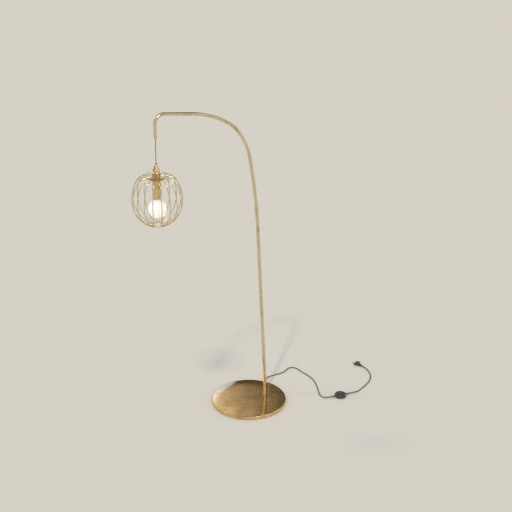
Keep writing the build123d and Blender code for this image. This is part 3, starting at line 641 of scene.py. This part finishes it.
def seat_collar(tip_x):
    """The collar that clamps the cage's seat plate, with a neck under the cap and a groove round it."""
    radius, foot, top = round_box("clamp_collar")
    neck = radius - 1.5
    groove = radius - 0.9
    bore = radius - 1.8
    web = (foot + top) / 2
    half_web = 1.2
    outline = rounded([
        (bore, top, 0.1), (neck, top, 0.1), (neck, top - 2.2, 0.3),
        (radius, top - 3.0, 0.5), (radius, web + 1.6, 0.3),
        (groove, web + 0.8, 0.3), (groove, web - 0.8, 0.3),
        (radius, web - 1.6, 0.3), (radius, foot + 1.2, 0.5),
        (radius - 1.2, foot, 0.3), (bore, foot, 0.2), (bore, web - half_web, 0),
        (FLEX_HOLE, web - half_web, 0), (FLEX_HOLE, web + half_web, 0), (bore, web + half_web, 0),
    ])
    turned("seat_collar", "clamp_collar", outline, "dark_fitting", "head", upright(tip_x))


def holder_sleeve(tip_x):
    """The flared cover round the lampholder, its mouth rolled over."""
    mouth, foot, top = round_box("lampholder_cover")
    shoulder = 15.3
    wall = 1.2
    roll = foot + 2.2
    outline = rounded([
        (PLATE_HOLE, top, 0), (shoulder - wall, top, 0), (shoulder, top - wall, 1.0),
        (mouth - 0.35, roll, 0.4), (mouth, foot + 1.6, 0.5),
        (mouth, foot + 0.2, 0.7), (mouth - wall - 0.2, foot, 0.5),
        (mouth - wall - 0.35, roll, 0.3), (shoulder - wall, top - 2 * wall, 0.5),
        (PLATE_HOLE, top - wall, 0),
    ])
    turned("holder_sleeve", "lampholder_cover", outline, "head_brass", "head", upright(tip_x))


# ---------- cage, as geometry nodes
def node_group(name, sizes):
    """An empty geometry node tree that takes a geometry and some named sizes."""
    tree = bpy.data.node_groups.new(name, "GeometryNodeTree")
    tree.interface.new_socket("Geometry", in_out="INPUT", socket_type="NodeSocketGeometry")
    for label, (kind, value) in sizes.items():
        socket = tree.interface.new_socket(label, in_out="INPUT", socket_type=kind)
        socket.default_value = value
    tree.interface.new_socket("Geometry", in_out="OUTPUT", socket_type="NodeSocketGeometry")
    return tree, add(tree, "NodeGroupInput").outputs


def bake_nodes(source, tree, values):
    """Runs a tree on an object, gives the plain mesh that it makes and drops the object."""
    modifier = source.modifiers.new("build", "NODES")
    modifier.node_group = tree
    for item in tree.interface.items_tree:
        if item.item_type == "SOCKET" and item.in_out == "INPUT" and item.name in values:
            modifier[item.identifier] = values[item.name]
    graph = bpy.context.evaluated_depsgraph_get()
    mesh = bpy.data.meshes.new_from_object(source.evaluated_get(graph))
    bpy.data.objects.remove(source)
    return mesh


def wire_line():
    """The centre line of one cage wire, drawn in the XZ plane about the pendant's axis."""
    _, foot, top = round_box("cage_plate")
    rise = math.radians(WIRE_RISE)
    face = WIRE_RADIUS - 0.35 * MM       # from the core of the top ring, in which the wire's end is sunk
    start = (RING_RADIUS + face * math.cos(rise), (foot + top) / 2 * MM + face * math.sin(rise))
    points = [(x, 0.0, z) for x, z, _ in bend_path(start, rise, WIRE_STEPS)]
    mesh = bpy.data.meshes.new("wire_line")
    mesh.from_pydata(points, [(i, i + 1) for i in range(len(points) - 1)], [])
    return placed("wire_line", mesh)


def cage_wires(tip_x):
    """Every wire of the cage: one bent wire with a weld bead at each end, repeated round the axis."""
    tree, given = node_group("cage_wires", {
        "Wire radius": ("NodeSocketFloat", WIRE_RADIUS),
        "Bead radius": ("NodeSocketFloat", WIRE_RADIUS * WELD_BEAD),
        "Wire count": ("NodeSocketInt", WIRE_COUNT),
        "First turn": ("NodeSocketFloat", 0.0),
        "Axis x": ("NodeSocketFloat", 0.0),
    })
    section = add(tree, "GeometryNodeCurvePrimitiveCircle", {
        "Resolution": 14, "Radius": given["Wire radius"],
    })
    line = add(tree, "GeometryNodeMeshToCurve", {"Mesh": given["Geometry"]})
    wire = add(tree, "GeometryNodeCurveToMesh", {"Curve": line, "Profile Curve": section, "Fill Caps": True})
    ends = add(tree, "GeometryNodeCurveEndpointSelection", {"Start Size": 1, "End Size": 1})
    bead = add(tree, "GeometryNodeMeshIcoSphere", {"Radius": given["Bead radius"], "Subdivisions": 3})
    beads = add(tree, "GeometryNodeInstanceOnPoints", {"Points": line, "Selection": ends, "Instance": bead})
    one = add(tree, "GeometryNodeJoinGeometry", {"Geometry": wire})
    feed(one, {"Geometry": beads})
    posts = add(tree, "GeometryNodeMeshLine", {"Count": given["Wire count"], "Offset": (0.0, 0.0, 0.0)})
    number = add(tree, "GeometryNodeInputIndex")
    step = add(tree, "ShaderNodeMath", {0: 2 * math.pi, 1: given["Wire count"]}, operation="DIVIDE")
    turn = add(tree, "ShaderNodeMath", {0: number, 1: step, 2: given["First turn"]}, operation="MULTIPLY_ADD")
    spin = add(tree, "ShaderNodeCombineXYZ", {"Z": turn})
    rotation = add(tree, "FunctionNodeEulerToRotation", {"Euler": spin})
    ring = add(tree, "GeometryNodeInstanceOnPoints", {"Points": posts, "Instance": one, "Rotation": rotation})
    aside = add(tree, "ShaderNodeCombineXYZ", {"X": given["Axis x"]})
    moved = add(tree, "GeometryNodeTransform", {"Geometry": ring, "Translation": aside})
    solid = add(tree, "GeometryNodeRealizeInstances", {"Geometry": moved})
    brass = MATERIALS["cage_brass"]
    painted = add(tree, "GeometryNodeSetMaterial", {"Geometry": solid, "Material": brass})
    add(tree, "NodeGroupOutput", {"Geometry": painted})
    mesh = bake_nodes(wire_line(), tree, {"First turn": math.radians(FIRST_WIRE), "Axis x": tip_x})
    finish_mesh("cage_wire_set", "cage_wires", mesh, "cage_brass", "head")


def cage_hoop(name, node, tip_x):
    """A hoop of the same wire, turned from a round section."""
    reach, foot, top = round_box(node)
    wire = WIRE_RADIUS / MM
    section = circle(wire, 0.0, 16)
    outline = [(reach - wire + across, (foot + top) / 2 + up) for across, up, _ in section]
    turned(name, node, outline, "cage_brass", "head", upright(tip_x), sharp=60.0)


def seat_plate(tip_x):
    """The round plate that the wires are welded to."""
    radius, foot, top = round_box("cage_plate")
    outline = rounded([
        (PLATE_HOLE, top, 0), (radius - 0.3, top, 0.3), (radius, top - 0.5, 0),
        (radius, foot + 0.5, 0), (radius - 0.3, foot, 0.3), (PLATE_HOLE, foot, 0),
    ])
    turned("seat_plate", "cage_plate", outline, "cage_brass", "head", upright(tip_x))


# ---------- bulb
def arc(centre, radius, first, last, steps):
    """Points (radius, height) round an arc, without its first point."""
    angles = [first + (last - first) * k / steps for k in range(1, steps + 1)]
    return [(centre[0] + radius * math.cos(a), centre[1] + radius * math.sin(a)) for a in angles]


def globe(tip_x):
    """An opal globe that flows into its neck, with its wall's inner side."""
    radius, foot, top = round_box("bulb_glass")
    centre = foot + radius
    neck = 13.6
    bend = 10.0                          # of the glass between globe and neck
    wall = 1.0
    spigot = 11.7                        # the end of the glass, inside the screw cap
    bore = spigot - wall
    inside = radius - wall
    reach = neck + bend
    lift = math.sqrt((radius + bend) ** 2 - reach ** 2)
    meet = math.atan2(lift, reach)
    bottom = -math.pi / 2
    mouth = math.acos(bore / inside)
    shoulder = round_box("bulb_cap")[1] - 0.05
    points = [(0.0, foot)]
    points += arc((0.0, centre), radius, bottom, meet, 48)
    points += arc((reach, centre + lift), bend, math.pi + meet, math.pi, 10)
    points += [(neck, shoulder - 0.3), (neck - 0.3, shoulder), (spigot, shoulder), (spigot, top)]
    points += [(bore, top), (bore, centre + math.sqrt(inside ** 2 - bore ** 2))]
    points += arc((0.0, centre), inside, mouth, bottom, 48)
    turned("opal_globe", "bulb_glass", points, "opal_glass", "bulb", upright(tip_x), 128)


def screw_cap(tip_x):
    """The rolled screw cap: a rounded helical thread, run out at both ends."""
    crest, foot, high = round_box("bulb_cap")
    depth = 0.8
    pitch = 3.6
    run_out = 2.0
    top = high - 1.5                     # of the thread
    inner = 11.8
    segments = 72
    rows = 96
    verts = []
    for row in range(rows + 1):
        height = foot + (top - foot) * row / rows
        fade = max(0.0, min(1.0, (height - foot) / run_out, (top - height) / run_out))
        for k in range(segments):
            turn = 2 * math.pi * k / segments
            swell = 0.5 + 0.5 * math.cos(2 * math.pi * (height - foot) / pitch - turn)
            radius = crest - depth + depth * swell * fade
            verts.append((radius * math.cos(turn), radius * math.sin(turn), height))
    for radius, height in ((8.0, high), (7.0, high), (inner, top - 0.4), (inner, foot)):
        verts += circle(radius, height, segments)
    mesh = shell_mesh(verts, segments, closed=True)
    mesh.transform(upright(tip_x))
    finish_mesh("threaded_cap", "bulb_cap", mesh, "cap_metal", "bulb")


# ---------- foot switch
def switch_place():
    """The middle of the switch on the floor, turned to its cords."""
    middle = (Vector(TO_SWITCH[-1]) + Vector(TO_PLUG[0])) / 2
    return Matrix.Translation((middle.x, middle.y, 0)) @ Matrix.Rotation(math.radians(SWITCH_TURN), 4, "Z")


def switch_shells():
    """Two round shells that meet at a fine shadow line."""
    _, split, top = round_box("switch_cover")
    radius = 27.0
    wall = 2.0
    hole = 12.8
    seam = 0.25
    upper = rounded([
        (radius - seam, split, 0.1), (radius, split + 0.4, 0.2), (radius, top, 3.2),
        (hole + 1.2, top, 0.6), (hole, top - 0.8, 0.3), (hole, top - wall, 0),
        (radius - wall, top - wall, 1.0), (radius - wall, split, 0),
    ])
    lower = rounded([
        (0.0, 0.0, 0), (radius - 0.9, 0.0, 0.3), (radius, 0.9, 0.5),
        (radius, split - 0.4, 0.2), (radius - seam, split, 0.1), (radius - wall, split, 0),
        (radius - wall, wall, 0), (0.0, wall, 0),
    ])
    turned("switch_upper", "switch_cover", upper, "black_plastic", "stand", switch_place())
    turned("switch_lower", "switch_base", lower, "black_plastic", "stand", switch_place())


def foot_button():
    """The round button, dished and with three raised rings that give the foot a grip."""
    _, foot, top = round_box("switch_button")
    radius = 12.5
    flange = 14.5
    guide = 3.0                          # radius of the stalk under the button
    ceiling = top - 1.9
    corners = [(0.0, top - 1.1, 0), (2.4, top - 1.1, 0.2)]
    for ring in (3.2, 5.6, 8.0):
        corners += [
            (ring, top - 0.55, 0.2), (ring + 0.8, top - 0.55, 0.2),
            (ring + 1.4, top - 1.0, 0.2),
        ]
    corners += [
        (10.2, top - 0.2, 0.5), (11.0, top, 0.3),
        (radius, top - 0.3, 1.2), (radius, foot + 4.7, 0.2),
        (flange, foot + 4.7, 0.2), (flange, foot + 3.2, 0.2),
        (10.5, foot + 3.2, 0), (10.5, ceiling, 0), (guide, ceiling, 0),
        (guide, foot, 0.2), (0.0, foot, 0),
    ]
    outline = rounded(corners, steps=4)
    turned("foot_button", "switch_button", outline, "black_plastic", "button", switch_place(), 80)


def button_spring():
    """The coil spring under the button, at its rest length, in a mesh of its own."""
    _, foot, top = round_box("switch_spring")
    wire = 0.4
    radius = 8.8
    rise = top - foot - 2 * wire
    steps = 48                           # rings of points in one turn of the coil
    total = 5 * steps
    segments = 10
    verts = []
    for row in range(total + 1):
        angle = 2 * math.pi * row / steps
        out = Vector((math.cos(angle), math.sin(angle), 0))
        centre = radius * out + Vector((0, 0, foot + wire + rise * row / total))
        for k in range(segments):
            turn = 2 * math.pi * k / segments
            verts.append(centre + wire * (math.cos(turn) * out + Vector((0, 0, math.sin(turn)))))
    mesh = shell_mesh(verts, segments, capped=True)
    mesh.transform(switch_place())
    piece = finish_mesh("button_coil", "switch_spring", mesh, "plated_steel", "stand")
    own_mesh(piece)


def switch_reliefs():
    """A ribbed sleeve on each side of the switch."""
    length = 15.0
    outline = ribbed_relief(length, 3.6, 2.8, 4, 0.45, 7.0, 3.6)
    back = level_way(SWITCH_TURN) * length * MM
    several("switch_sleeves", "switch_reliefs", outline, 40, "black_plastic", [
        laid(Vector(TO_PLUG[0]) - back, SWITCH_TURN),
        laid(Vector(TO_SWITCH[-1]) + back, SWITCH_TURN + 180),
    ])


# ---------- plug
PLUG_REAR = 18.0                         # from the cord's end to the plug's body, and to its face
PLUG_FACE = 44.0


def smooth(t):
    """A share from 0 to 1, eased at both ends."""
    t = max(0.0, min(1.0, t))
    return t * t * (3 - 2 * t)


def between(value, stops):
    """Eased values between (position, value) stops."""
    for (start, first), (end, last) in zip(stops, stops[1:]):
        if value <= end:
            return first + (last - first) * smooth((value - start) / (end - start))
    return stops[-1][1]


def plug_place():
    """The cord's end in the plug, with the plug's pins along X."""
    return Matrix.Translation(Vector(TO_PLUG[-1])) @ Matrix.Rotation(math.radians(PLUG_TURN), 4, "Z")


def power(value, exponent):
    """A power that keeps the value's sign."""
    return math.copysign(abs(value) ** exponent, value)


def plug_shell():
    """The flat plug body: a waist for the fingers, swelling to the face, with grip grooves."""
    widths = [(PLUG_REAR, 12.6), (30.0, 19.0), (38.0, 35.3), (PLUG_FACE, 35.3)]
    heights = [(PLUG_REAR, 10.6), (30.0, 13.0), (36.0, 13.7), (PLUG_FACE, 13.7)]
    grooves = (23.0, 26.0, 29.0)
    depth = 0.5
    soft = 1.0                           # half a groove's width, and the rounding of the ends
    flatness = 2 / 3.2
    rows = 72
    segments = 72
    verts = []
    for row in range(rows + 1):
        x = PLUG_REAR + (PLUG_FACE - PLUG_REAR) * row / rows
        edge = min(x - PLUG_REAR, PLUG_FACE - x)
        inset = soft * (1 - smooth(edge / soft)) ** 2
        groove = max(depth * smooth(1 - abs(x - at) / soft) for at in grooves)
        width = between(x, widths) - 2 * inset - groove
        height = between(x, heights) - 2 * inset - 2 * groove
        for k in range(segments):
            turn = 2 * math.pi * k / segments
            y = power(math.cos(turn), flatness) * width / 2
            verts.append((x, y, power(math.sin(turn), flatness) * height / 2))
    mesh = shell_mesh(verts, segments, capped=True)
    mesh.transform(plug_place())
    finish_mesh("plug_shell", "plug_body", mesh, "black_plastic", "stand", sharp=40.0)


def plug_sleeve():
    """The ribbed sleeve where the cord goes into the plug."""
    outline = ribbed_relief(PLUG_REAR, 4.6, 2.9, 5, 0.5, 0.0, 4.6)
    flipped = [(radius, PLUG_REAR - height) for radius, height in outline]
    place = laid(Vector(TO_PLUG[-1]), PLUG_TURN)
    turned("plug_sleeve", "plug_relief", flipped, "black_plastic", "stand", place, 40)


def plug_contacts():
    """The two pins, each with an insulating sleeve at its root."""
    spacing = 18.6
    thick = 2.0
    thin = 1.5
    sleeve = 10.0                        # length of the insulation
    tip = 19.0
    pin = rounded([
        (0.0, -8.0, 0), (thin, -8.0, 0), (thin, sleeve, 0), (thick, sleeve, 0.1),
        (thick, tip, 1.0), (0.0, tip, 0),
    ])
    skin = rounded([
        (1.55, 0.0, 0), (1.8, 0.0, 0), (1.8, sleeve, 0.1), (1.55, sleeve, 0),
    ])
    along = Matrix.Rotation(math.radians(90), 4, "Y")
    places = []
    for side in (-1, 1):
        root = Vector((PLUG_FACE, side * spacing / 2, 0)) * MM
        places.append(plug_place() @ Matrix.Translation(root) @ along)
    several("contact_pins", "plug_pins", pin, 32, "pin_metal", places)
    several("pin_insulation", "pin_sleeves", skin, 32, "black_plastic", places)


# ---------- cords
def cord_curve(name, route, node):
    """A round cord on one smooth line through its route."""
    curve = bpy.data.curves.new(name, "CURVE")
    curve.dimensions = "3D"
    spline = curve.splines.new("NURBS")
    spline.points.add(len(route) - 1)
    for point, place in zip(spline.points, route):
        point.co = (*place, 1.0)
    spline.order_u = 3
    spline.use_endpoint_u = True
    spline.resolution_u = 12
    curve.bevel_depth = CORD_DIAMETER / 2
    curve.bevel_resolution = 6
    curve.use_fill_caps = True
    curve.materials.append(MATERIALS["black_cord"])
    piece = placed(name, curve)
    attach(piece, "stand")
    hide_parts(node)
    return piece


def cords():
    """Both runs of the mains cord. The pieces of the switch on them are listed, and nothing more is done with
    them.
    """
    base_run = cord_curve("base_run", TO_SWITCH, "floor_cord")
    plug_run = cord_curve("plug_run", TO_PLUG, "plug_cord")
    switch = ["switch_upper", "switch_lower", "switch_sleeves", "foot_button", "button_coil"]
    switch += [frame["nodes"][node].name for node in ("contact_bridge", "switch_contacts", "switch_screws")]


# ---------- finishes of the CAD pieces that stay
def dress_frame():
    """Gives every CAD node the material of its slot. The pieces made here then hide some of them."""
    for entry in frame["record"]["subparts"]:
        piece = frame["nodes"][entry["node"]]
        piece.data.materials.clear()
        piece.data.materials.append(MATERIALS[entry["material_slot"]])


# ---------- stage, light and camera
BACKDROP = "#D6D1C7"
FLOOR_PAINT = "#E1DDD5"
CAMERA_PLACE = (-4.4515, -4.3281, 3.6719)
CAMERA_HEADING = 43.886                  # degrees from +X
CAMERA_TILT = 25.081
LENS = 105.47
DOME = 0.66                              # brightness of the pale room that lights the lamp
DARK_ROOM = "#5C533F"                    # what polished metal sees where there is no panel
SUNS = [                                 # name, way along which its shadows fall, strength, spread in degrees
    ("key", (0.6052, 0.3157, -1.0), 0.62, 2.6),
    ("side", (0.5599, -0.5576, -1.0), 0.28, 6.0),
]
# What polished metal sees, in degrees: facing, half width, its blur, lowest, highest, their blur and slope.
# Then its colour and brightness.
PANELS = [
    (-24.0, 21.5, 3.7, 31.4, 42.0, 4.7, 0.0, "#FFF7EA", 0.67),   # pale wall, whose edge shows in the base
    (-6.4, 4.4, 0.8, 31.4, 33.0, 3.2, 1.3, "#A0BFFF", 1.45),     # cool window at the left of the base
    (10.0, 9.8, 1.4, 38.6, 52.0, 1.2, -0.7, "#FFEBD0", 0.17),    # dim wall at the right of the base
    (-80.0, 12.0, 9.0, 34.0, 50.0, 7.0, 0.0, "#FFF9EE", 3.5),    # softbox, a glint on the bend of the arm
    (143.0, 12.0, 6.0, 46.0, 68.0, 8.0, 0.0, "#FFF9EE", 9.0),    # softbox, a glint on the rim of the base
    (118.0, 14.0, 5.0, 46.0, 68.0, 8.0, 0.0, "#FFEFE2", 4.0),    # its dimmer neighbour, to draw the glint out
    (52.0, 12.0, 6.0, 46.0, 66.0, 6.0, 0.0, "#FFF3D8", 2.5),     # softbox, a glint on the right of the rim
    (180.0, 55.0, 20.0, 6.0, 38.0, 8.0, 0.0, "#FFF9EE", 0.75),   # pale wall behind the camera
    (92.0, 24.0, 12.0, 4.0, 20.0, 6.0, 0.0, "#FFF9EE", 0.7),     # pale wall on the right
    (0.0, 180.0, 1.0, 66.0, 92.0, 10.0, 0.0, "#FFF7EA", 0.3),    # pale ceiling
    (-5.0, 70.0, 12.0, 3.0, 24.0, 2.5, 0.0, "#FFF7EA", 0.35),    # pale wall beyond the lamp, low down
]


def floor():
    """The pale floor, wide enough to fill the view."""
    half = 40.0
    mesh = bpy.data.meshes.new("floor")
    corners = [(-half, -half, 0), (half, -half, 0), (half, half, 0), (-half, half, 0)]
    mesh.from_pydata(corners, [], [(0, 1, 2, 3)])
    material, _, shader, _ = new_material("pale_floor")
    feed(shader, {"Base Color": linear(FLOOR_PAINT), "Roughness": 0.9, "Specular IOR Level": 0.0})
    mesh.materials.append(material)
    placed("floor", mesh)


def sun(name, way, strength, spread):
    """A soft light that casts a faint shadow, and leaves no glint of its own on the brass."""
    light = bpy.data.lights.new(name, "SUN")
    light.energy = strength
    light.angle = math.radians(spread)
    light.color = linear("#FFF8EE")[:3]
    lamp = placed(name, light)
    lamp.visible_glossy = False
    lamp.rotation_mode = "QUATERNION"
    lamp.rotation_quaternion = Vector(way).to_track_quat("-Z", "Y")


def panel(tree, way, height, facing, half_width, width_blur, low, high, height_blur, slope):
    """How much of a soft-edged panel lies in a direction. It faces so far right of the camera's heading."""
    ahead = level_way(CAMERA_HEADING - facing)
    right = level_way(CAMERA_HEADING - facing - 90)
    along = add(tree, "ShaderNodeVectorMath", {0: way, 1: ahead}, operation="DOT_PRODUCT")
    across = add(tree, "ShaderNodeVectorMath", {0: way, 1: right}, operation="DOT_PRODUCT")
    parts = {0: across.outputs["Value"], 1: along.outputs["Value"]}
    turn = add(tree, "ShaderNodeMath", parts, operation="ARCTAN2")
    aside = add(tree, "ShaderNodeMath", {0: turn}, operation="ABSOLUTE")
    level = add(tree, "ShaderNodeMath", {0: turn, 1: slope, 2: height}, operation="MULTIPLY_ADD")
    share = []
    for value, outside, inside in (
        (level, low - height_blur, low), (level, high + height_blur, high),
        (aside, half_width + width_blur, half_width),
    ):
        share.append(add(tree, "ShaderNodeMapRange", {
            "Value": value, "From Min": math.radians(outside), "From Max": math.radians(inside),
        }, interpolation_type="SMOOTHERSTEP"))
    tall = add(tree, "ShaderNodeMath", {0: share[0], 1: share[1]}, operation="MULTIPLY")
    return add(tree, "ShaderNodeMath", {0: share[2], 1: tall}, operation="MULTIPLY")


def studio():
    """A pale even room, in which polished metal sees dark walls and a few soft bright panels."""
    world = bpy.data.worlds.new("studio")
    bpy.context.scene.world = world
    world.use_nodes = True
    tree = world.node_tree
    tree.nodes.clear()
    way = add(tree, "ShaderNodeTexCoord").outputs["Generated"]
    rise = add(tree, "ShaderNodeSeparateXYZ", {"Vector": way}).outputs["Z"]
    height = add(tree, "ShaderNodeMath", {0: rise}, operation="ARCSINE")
    mirrored = add(tree, "ShaderNodeBackground", {"Color": linear(DARK_ROOM), "Strength": 1.0})
    for *shape, colour, brightness in PANELS:
        share = panel(tree, way, height, *shape)
        glow = add(tree, "ShaderNodeMath", {0: share, 1: brightness}, operation="MULTIPLY")
        light = add(tree, "ShaderNodeBackground", {"Color": linear(colour), "Strength": glow})
        mirrored = add(tree, "ShaderNodeAddShader", {0: mirrored, 1: light})
    dome = add(tree, "ShaderNodeBackground", {"Color": linear("#FFFFFF"), "Strength": DOME})
    plain = add(tree, "ShaderNodeBackground", {"Color": linear(BACKDROP), "Strength": 1.0})
    rays = add(tree, "ShaderNodeLightPath").outputs
    lit = add(tree, "ShaderNodeMixShader", {0: rays["Is Glossy Ray"], 1: dome, 2: mirrored})
    seen = add(tree, "ShaderNodeMixShader", {0: rays["Is Camera Ray"], 1: lit, 2: plain})
    add(tree, "ShaderNodeOutputWorld", {"Surface": seen})


def camera():
    """The photo's view."""
    data = bpy.data.cameras.new("camera")
    data.lens = LENS
    data.sensor_width = 36.0
    data.clip_start = 0.1
    data.clip_end = 100.0
    view = placed("camera", data)
    tilt = math.radians(CAMERA_TILT)
    way = level_way(CAMERA_HEADING) * math.cos(tilt) - Vector((0, 0, math.sin(tilt)))
    view.location = CAMERA_PLACE
    view.rotation_mode = "QUATERNION"
    view.rotation_quaternion = way.to_track_quat("-Z", "Y")
    bpy.context.scene.camera = view
    bpy.context.scene.view_settings.view_transform = "Standard"


# ---------- build
def build():
    """Every piece of the lamp, from its base to its plug."""
    dress_frame()
    base_dish()
    base_relief()
    tip_x, tube_end = stem_tubes()
    arm_nose(tip_x, tube_end)
    flex_sleeve(tip_x)
    grip_sleeve(tip_x)
    grip_ring(tip_x)
    cone_cap(tip_x)
    seat_collar(tip_x)
    holder_sleeve(tip_x)
    seat_plate(tip_x)
    cage_wires(tip_x)
    cage_hoop("top_hoop", "cage_top_ring", tip_x)
    cage_hoop("bottom_hoop", "cage_bottom_ring", tip_x)
    globe(tip_x)
    screw_cap(tip_x)
    switch_shells()
    foot_button()
    button_spring()
    switch_reliefs()
    plug_shell()
    plug_sleeve()
    plug_contacts()
    cords()


build()
floor()
studio()
for name, way, strength, spread in SUNS:
    sun(name, way, strength, spread)
camera()
